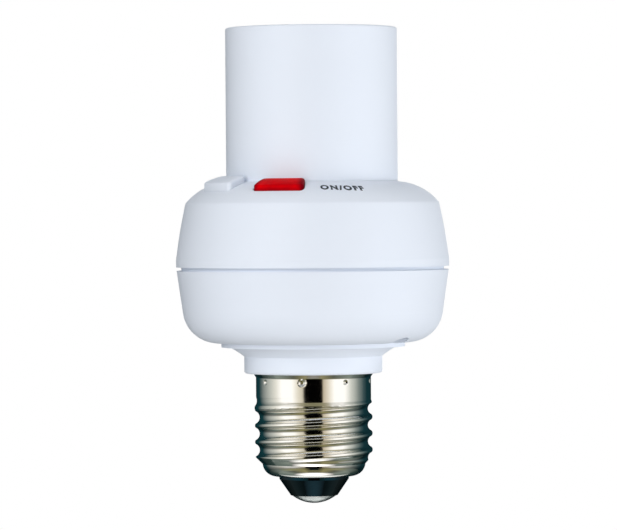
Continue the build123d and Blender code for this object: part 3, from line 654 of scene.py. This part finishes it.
def flat_words(context, words):
    """The words in the built-in font, flat and with some thickness."""
    curve = bpy.data.curves.new("words_outline", "FONT")
    curve.body = words
    curve.align_x = "CENTER"
    curve.align_y = "CENTER"
    curve.extrude = LETTER_DEPTH
    curve.offset = BOLD_OFFSET
    curve.space_character = LETTER_SPACING
    drawn = bpy.data.objects.new("words_outline", curve)
    context.scene.collection.objects.link(drawn)
    context.view_layer.update()
    flat = bpy.data.meshes.new_from_object(drawn.evaluated_get(context.evaluated_depsgraph_get()))
    shape = bmesh.new()
    shape.from_mesh(flat)
    bpy.data.objects.remove(drawn)
    bpy.data.curves.remove(curve)
    bpy.data.meshes.remove(flat)
    if not shape.verts:
        raise RuntimeError("The words gave no outline")
    bmesh.ops.remove_doubles(shape, verts=shape.verts, dist=WELD_DISTANCE)
    return shape


class LAMPHOLDER_OT_words(bpy.types.Operator):
    """Print the words beside the red key, wrapped onto the shoulder"""

    bl_idname = "lamp_holder.words"
    bl_label = "Words"

    def execute(self, context):
        holder = context.scene.lamp_holder
        sizes = holder.words
        shape = flat_words(context, sizes.words)
        low = Vector([min(v.co[axis] for v in shape.verts) for axis in range(3)])
        high = Vector([max(v.co[axis] for v in shape.verts) for axis in range(3)])
        for strip in range(1, WORD_STRIPS):
            across = low.x + (high.x - low.x) * strip / WORD_STRIPS
            bmesh.ops.bisect_plane(
                shape,
                geom=shape.verts[:] + shape.edges[:] + shape.faces[:],
                plane_co=(across, 0, 0),
                plane_no=(1, 0, 0),
            )
        middle = (low + high) / 2
        ring = sizes.dome_reach + sizes.dome_radius * math.sin(sizes.dome_angle)
        for vert in shape.verts:
            along = (vert.co.x - middle.x) / (high.x - low.x) * sizes.length
            up = (vert.co.y - middle.y) / (high.y - low.y) * sizes.height - along * math.tan(sizes.tilt)
            slope = sizes.dome_angle - up / sizes.dome_radius
            angle = sizes.azimuth + along / ring - math.pi / 2
            arc = sizes.dome_radius + (sizes.film if vert.co.z > 0 else -sizes.film)
            reach = sizes.dome_reach + arc * math.sin(slope)
            vert.co = (
                reach * math.cos(angle),
                reach * math.sin(angle),
                sizes.dome_height + arc * math.cos(slope),
            )
        words = new_piece("printed_words", shape, print_ink(holder.colours.ink))
        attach(words, "housing")
        return {"FINISHED"}


class LAMPHOLDER_OT_lamp_socket(bpy.types.Operator):
    """Finish the lamp's socket: liner, screw shell, centre contact and rivets"""

    bl_idname = "lamp_holder.lamp_socket"
    bl_label = "Lamp socket"

    def execute(self, context):
        colours = context.scene.lamp_holder.colours
        # PBT moulded: a warm pale grey with an even satin face
        liner = plain_plastic("pbt_moulded", colours.liner, roughness=0.5, grain=3 * MM)
        # Bronze strip rolled and bent: warm yellow with a soft gloss
        bronze = plain_metal("bronze_rolled_strip", colours.bronze, roughness=0.3, grain=1.2 * MM)
        # Steel rivets plated with zinc: cool grey, a little dull where the heads were pressed
        zinc = plain_metal("steel_zinc_plated_rivet", colours.zinc, roughness=0.35, grain=0.8 * MM)
        dress("socket_liner", liner)
        dress("socket_shell", bright_nickel(colours.nickel))
        dress("centre_contact", bronze)
        dress("socket_rivets", zinc)
        return {"FINISHED"}


class LAMPHOLDER_OT_fasteners(bpy.types.Operator):
    """Finish the screws of the housing and of the board"""

    bl_idname = "lamp_holder.fasteners"
    bl_label = "Fasteners"

    def execute(self, context):
        colours = context.scene.lamp_holder.colours
        # Steel screws plated with zinc: cool grey and fairly bright
        zinc = plain_metal("steel_zinc_plated_screw", colours.zinc, roughness=0.3, grain=0.7 * MM)
        for node in ("housing_screws", "board_screws"):
            dress(node, zinc)
        return {"FINISHED"}


# Finish of the hidden pieces: name, colour, roughness, size of its patches in millimetres, and the pieces
HIDDEN_PLASTICS = (
    # Solder mask printed on glass cloth: a half gloss, clouded by the cloth below it
    ("solder_mask_printed_green", "#1E5A34", 0.35, 2.0, ("circuit_board",)),
    ("solder_mask_printed_blue", "#1D4A78", 0.35, 2.0, ("receiver_board",)),
    # PBT moulded: one colour all through, with an even satin face
    ("pbt_moulded_blue", "#1C2E55", 0.4, 2.0, ("relay",)),
    ("pbt_moulded_yellow", "#D9B23A", 0.3, 2.0, ("film_capacitor",)),
    # PVC sleeve shrunk on: smooth, with a half gloss
    ("pvc_shrunk_sleeve", "#191B22", 0.3, 1.5, ("electrolytic_capacitor",)),
    # Epoxy and lacquer dipped: a half gloss, thicker in some places than in others
    ("epoxy_dipped_blue", "#2A5FB0", 0.35, 1.2, ("varistor",)),
    ("lacquer_dipped_grey", "#7F94A8", 0.4, 1.0, ("fusible_resistor",)),
    # Epoxy moulded round a chip: nearly black and matt
    ("epoxy_moulded_rectifier", "#17171A", 0.5, 1.0, ("rectifier",)),
    ("epoxy_moulded_chip", "#1A1A1D", 0.5, 0.8, ("controller_chip",)),
    # Nylon and acetal moulded: black and satin
    ("nylon_moulded_header", "#141416", 0.45, 1.0, ("receiver_header",)),
    ("nylon_moulded_switch", "#202023", 0.45, 1.0, ("on_off_switch", "learn_switch")),
    ("acetal_moulded_stem", "#2A2A2E", 0.4, 0.8, ("on_off_switch_stem", "learn_switch_stem")),
    # Epoxy cast in a polished mould: a sharp gloss
    ("epoxy_cast_lens", "#D21A14", 0.12, 1.0, ("indicator_led",)),
    # PVC extruded on wire: satin
    ("pvc_extruded_brown", "#5A3520", 0.4, 1.0, ("cap_live_lead", "lamp_live_lead")),
    ("pvc_extruded_blue", "#2C5BA8", 0.4, 1.0, ("cap_neutral_lead", "lamp_neutral_lead")),
)
HIDDEN_METALS = (
    # Tinned sheet steel folded: pale grey, with a soft gloss
    ("tinned_steel_folded", "#C4C6C4", 0.25, 1.5, ("receiver_can",)),
    # Copper wire drawn: warm, with a soft gloss
    ("copper_wire_drawn", "#B8703C", 0.25, 0.8, ("antenna",)),
)


class LAMPHOLDER_OT_inner_parts(bpy.types.Operator):
    """Finish the board and what it carries, hidden in the housings"""

    bl_idname = "lamp_holder.inner_parts"
    bl_label = "Inner parts"

    def execute(self, context):
        for finishes, finish in ((HIDDEN_PLASTICS, plain_plastic), (HIDDEN_METALS, plain_metal)):
            for name, code, roughness, grain, nodes in finishes:
                material = finish(name, linear(code), roughness, grain * MM)
                for node in nodes:
                    dress(node, material)
        return {"FINISHED"}


def stage_sheet(name, corners, material):
    """Add a flat sheet to the stage from its four corners."""
    mesh = bpy.data.meshes.new(name)
    mesh.from_pydata(corners, [], [tuple(range(len(corners)))])
    mesh.materials.append(material)
    sheet = bpy.data.objects.new(name, mesh)
    bpy.context.scene.collection.objects.link(sheet)
    return sheet


def card_light(stops, angle):
    """Light of a card at this angle from the camera, between its two nearest stops."""
    for (start, first), (end, second) in zip(stops, stops[1:]):
        if start <= angle <= end:
            share = (angle - start) / (end - start)
            return [a + (b - a) * share for a, b in zip(linear(first), linear(second))]
    raise ValueError("No light is given at this angle")


# Steps of a card's turn round the object
CARD_STEPS = 360


def studio_card(name, edges, stops, material):
    """A card bent round the object, seen only in reflections.

    Each edge is its distance from the axis, its height and its level of light.
    """
    verts = []
    lights = []
    for step in range(CARD_STEPS + 1):
        degrees = 360 * step / CARD_STEPS - 180
        angle = math.radians(degrees) - math.pi / 2
        light = card_light(stops, degrees)
        for distance, height, level in edges:
            verts.append((distance * math.cos(angle), distance * math.sin(angle), height))
            lights += [channel * level for channel in light]
    rows = len(edges)
    faces = []
    for step in range(CARD_STEPS):
        for row in range(rows - 1):
            corner = step * rows + row
            faces.append((corner, corner + rows, corner + rows + 1, corner + 1))
    mesh = bpy.data.meshes.new(name)
    mesh.from_pydata(verts, [], faces)
    mesh.color_attributes.new("light", "FLOAT_COLOR", "POINT").data.foreach_set("color", lights)
    mesh.materials.append(material)
    card = bpy.data.objects.new(name, mesh)
    bpy.context.scene.collection.objects.link(card)
    card.visible_camera = False
    card.visible_diffuse = False
    card.visible_shadow = False
    card.visible_transmission = False


# Width of each softbox and the point that they all shine at, in metres
SOFTBOX_WIDTH = 0.8
LIGHT_TARGET = (0, 0, 0.055)
# Each softbox: its name, its power in watts and its place in metres
SOFTBOXES = (
    ("left_softbox", 8.3, (-0.54, -1.06, 0.3)),
    ("right_softbox", 11.6, (1.3, 0.05, -0.1)),
    ("back_softbox", 10.0, (0.1, 1.3, 0.3)),
    ("low_softbox", 3.7, (0.1, -1.02, -0.62)),
    ("top_softbox", 2.9, (0.05, -0.1, 1.3)),
)


def softbox(name, power, place):
    """A square soft light that shines from its place at the object and isn't seen in reflections."""
    lamp = bpy.data.lights.new(name, "AREA")
    lamp.shape = "SQUARE"
    lamp.size = SOFTBOX_WIDTH
    lamp.energy = power
    box = bpy.data.objects.new(name, lamp)
    bpy.context.scene.collection.objects.link(box)
    box.location = place
    box.rotation_euler = (Vector(LIGHT_TARGET) - box.location).to_track_quat("-Z", "Y").to_euler()
    box.visible_glossy = False


# What bright metal sees round it: degrees from the camera and light. A dark gap stands before the camera,
# white panels at both sides of it, and a dark room behind
ROOM_LIGHT = (
    (-180, "#0A2228"),
    (-138, "#0F343A"),
    (-128, "#4E5C5E"),
    (-96, "#B4B8B4"),
    (-80, "#DADAD4"),
    (-66, "#FFFFFF"),
    (-44, "#FFFFFF"),
    (-32, "#DEDACE"),
    (-22, "#C6C0B0"),
    (-18, "#000000"),
    (17, "#000000"),
    (19, "#B8AD98"),
    (30, "#DDD7CA"),
    (42, "#FFFFFF"),
    (64, "#FFFFFF"),
    (80, "#C4C8C4"),
    (102, "#747F7E"),
    (118, "#3A4E52"),
    (132, "#123036"),
    (180, "#0A2228"),
)
# Above the panels the dark gap ends
UPPER_LIGHT = (
    (-180, "#0A2228"),
    (-110, "#5E6A66"),
    (-60, "#B4AE90"),
    (0, "#8E8B6E"),
    (60, "#B4AE90"),
    (110, "#5E6A66"),
    (180, "#0A2228"),
)
# The table below the metal: olive and grey at the sides, dark under the camera
TABLE_LIGHT = (
    (-180, "#0A2228"),
    (-140, "#2A3A38"),
    (-100, "#6E7874"),
    (-62, "#8C8C70"),
    (-26, "#85805A"),
    (-9, "#10181A"),
    (9, "#10181A"),
    (26, "#85805A"),
    (62, "#8C8C70"),
    (100, "#6E7874"),
    (140, "#2A3A38"),
    (180, "#0A2228"),
)
# The table near the cap: olive and grey at the sides, pale behind
NEAR_TABLE_LIGHT = (
    (-180, "#F4F8F8"),
    (-164, "#F4F8F8"),
    (-140, "#56625F"),
    (-100, "#7A847E"),
    (-62, "#54574E"),
    (-26, "#85805A"),
    (-16, "#646249"),
    (17, "#646249"),
    (26, "#85805A"),
    (62, "#54574E"),
    (100, "#7A847E"),
    (140, "#56625F"),
    (164, "#F4F8F8"),
    (180, "#F4F8F8"),
)
# The patch of table right under the cap, white all round
PATCH_LIGHT = (
    (-180, "#FFFFFF"),
    (180, "#FFFFFF"),
)
# Each card: its name, its edges in metres and its light
CARDS = (
    (
        "room_card",
        ((0.5, -0.23, 0.3), (0.5, -0.13, 0.55), (0.5, -0.06, 1.0), (0.5, 0.2, 1.0), (0.5, 0.4, 0.7)),
        ROOM_LIGHT,
    ),
    ("upper_card", ((0.5, 0.4, 0.7), (0.42, 0.62, 1.0)), UPPER_LIGHT),
    ("table_card", ((0.5, -0.23, 0.6), (0.26, -0.23, 1.0)), TABLE_LIGHT),
    ("near_table_card", ((0.26, -0.23, 1.0), (0.11, -0.23, 1.0)), NEAR_TABLE_LIGHT),
    ("patch_card", ((0.11, -0.23, 0.2), (0.05, -0.23, 1.3), (0.001, -0.23, 2.0)), PATCH_LIGHT),
)
# Strength of the cards' light
CARD_STRENGTH = 1.25
# Strength of the world where it lights the object; where it is seen, it is 1
WORLD_STRENGTH = 0.265
# Half of the floor's width, and the nearest and furthest that the camera sees, in metres
FLOOR_HALF = 4.0
NEAR_VIEW, FAR_VIEW = 0.01, 20.0
# Width of the camera's sensor in millimetres
SENSOR_WIDTH = 36.0


def seen_ray(tree):
    """A socket that is 1 for a ray that sees the background, also in metal or through glass."""
    path = add_node(tree, "ShaderNodeLightPath")
    seen = path.outputs["Is Camera Ray"]
    for kind in ("Is Glossy Ray", "Is Transmission Ray"):
        either = add_node(
            tree, "ShaderNodeMath", None, {0: seen, 1: path.outputs[kind]}, operation="MAXIMUM"
        )
        seen = either.outputs[0]
    return seen


def white_world():
    """A world that is white where it is seen and lights the object evenly."""
    world = bpy.data.worlds.new("white_studio")
    world.use_nodes = True
    tree = world.node_tree
    tree.nodes.clear()
    strength = add_node(
        tree, "ShaderNodeMapRange", {"To Min": WORLD_STRENGTH, "To Max": 1.0}, {"Value": seen_ray(tree)}
    )
    sky = add_node(
        tree,
        "ShaderNodeBackground",
        {"Color": linear("#FFFFFF")},
        {"Strength": strength.outputs["Result"]},
    )
    add_node(tree, "ShaderNodeOutputWorld", None, {"Surface": sky.outputs["Background"]})
    return world


def white_paper(floor_lift):
    """Matt white paper, brought up to white where it is seen, which keeps the object's shadow."""
    material, tree, shader, _ = new_material(
        "white_paper", Roughness=0.9, Base_Color=linear("#F4F4F4"), Emission_Color=linear("#FFFFFF")
    )
    lift = add_node(tree, "ShaderNodeMath", {1: floor_lift}, {0: seen_ray(tree)}, operation="MULTIPLY")
    tree.links.new(lift.outputs[0], shader.inputs["Emission Strength"])
    return material


def card_glow():
    """The cards' light, in the colour that each of their points holds."""
    material = bpy.data.materials.new("card_glow")
    material.use_nodes = True
    tree = material.node_tree
    tree.nodes.clear()
    light = add_node(tree, "ShaderNodeVertexColor", layer_name="light")
    shine = add_node(
        tree, "ShaderNodeEmission", {"Strength": CARD_STRENGTH}, {"Color": light.outputs["Color"]}
    )
    add_node(tree, "ShaderNodeOutputMaterial", None, {"Surface": shine.outputs["Emission"]})
    return material


def studio_camera(stage):
    """A camera in front of the object with a long lens, which looks slightly down."""
    lens = bpy.data.cameras.new("camera")
    lens.sensor_fit = "HORIZONTAL"
    lens.sensor_width = SENSOR_WIDTH
    lens.lens = stage.lens
    lens.clip_start = NEAR_VIEW
    lens.clip_end = FAR_VIEW
    camera = bpy.data.objects.new("camera", lens)
    bpy.context.scene.collection.objects.link(camera)
    tilt = Euler((math.pi / 2 - stage.camera_pitch, 0, 0)).to_matrix().to_4x4()
    roll = Matrix.Rotation(-stage.camera_roll, 4, "Z")
    place = Matrix.Translation((-stage.camera_side, -stage.camera_distance, stage.camera_height))
    camera.matrix_world = place @ tilt @ roll
    return camera


class LAMPHOLDER_OT_stage(bpy.types.Operator):
    """Set up the studio: pale floor, cards for the metal, soft lights and the camera"""

    bl_idname = "lamp_holder.stage"
    bl_label = "Stage"

    def execute(self, context):
        scene = context.scene
        stage = scene.lamp_holder.stage
        scene.view_settings.view_transform = "Standard"
        scene.world = white_world()
        corners = ((-1, -1), (1, -1), (1, 1), (-1, 1))
        floor = stage_sheet(
            "floor",
            [(x * FLOOR_HALF, y * FLOOR_HALF, -stage.floor_drop) for x, y in corners],
            white_paper(stage.floor_lift),
        )
        floor.visible_glossy = False
        glow = card_glow()
        for name, edges, stops in CARDS:
            studio_card(name, edges, stops, glow)
        for name, power, place in SOFTBOXES:
            softbox(name, power, place)
        scene.camera = studio_camera(stage)
        return {"FINISHED"}


class LAMPHOLDER_PT_panel(bpy.types.Panel):
    """Lists the pieces in the order they are made, then the sizes and colours"""

    bl_idname = "LAMPHOLDER_PT_panel"
    bl_label = "Lamp holder"
    bl_space_type = "VIEW_3D"
    bl_region_type = "UI"
    bl_category = "Lamp holder"

    def draw(self, context):
        for operator in OPERATORS:
            self.layout.operator(operator.bl_idname)
        holder = context.scene.lamp_holder
        for group in (holder.cap, holder.words, holder.red_key, holder.colours, holder.stage):
            box = self.layout.box()
            for field in group.bl_rna.properties.keys():
                if field not in ("rna_type", "name"):
                    box.prop(group, field)


OPERATORS = (
    LAMPHOLDER_OT_stage,
    LAMPHOLDER_OT_housings,
    LAMPHOLDER_OT_keys,
    LAMPHOLDER_OT_words,
    LAMPHOLDER_OT_cap_shell,
    LAMPHOLDER_OT_cap_tip,
    LAMPHOLDER_OT_lamp_socket,
    LAMPHOLDER_OT_fasteners,
    LAMPHOLDER_OT_inner_parts,
)
CLASSES = (
    CapSizes,
    PrintSizes,
    KeySizes,
    Colours,
    StageSizes,
    LampHolder,
    *OPERATORS,
    LAMPHOLDER_PT_panel,
)


def register():
    for each in CLASSES:
        bpy.utils.register_class(each)
    bpy.types.Scene.lamp_holder = bpy.props.PointerProperty(type=LampHolder)


def unregister():
    del bpy.types.Scene.lamp_holder
    for each in reversed(CLASSES):
        bpy.utils.unregister_class(each)


def main():
    register()
    bpy.ops.lamp_holder.stage()
    bpy.ops.lamp_holder.housings()
    bpy.ops.lamp_holder.keys()
    bpy.ops.lamp_holder.words()
    bpy.ops.lamp_holder.cap_shell()
    bpy.ops.lamp_holder.cap_tip()
    bpy.ops.lamp_holder.lamp_socket()
    bpy.ops.lamp_holder.fasteners()
    bpy.ops.lamp_holder.inner_parts()


if __name__ == "__main__":
    main()
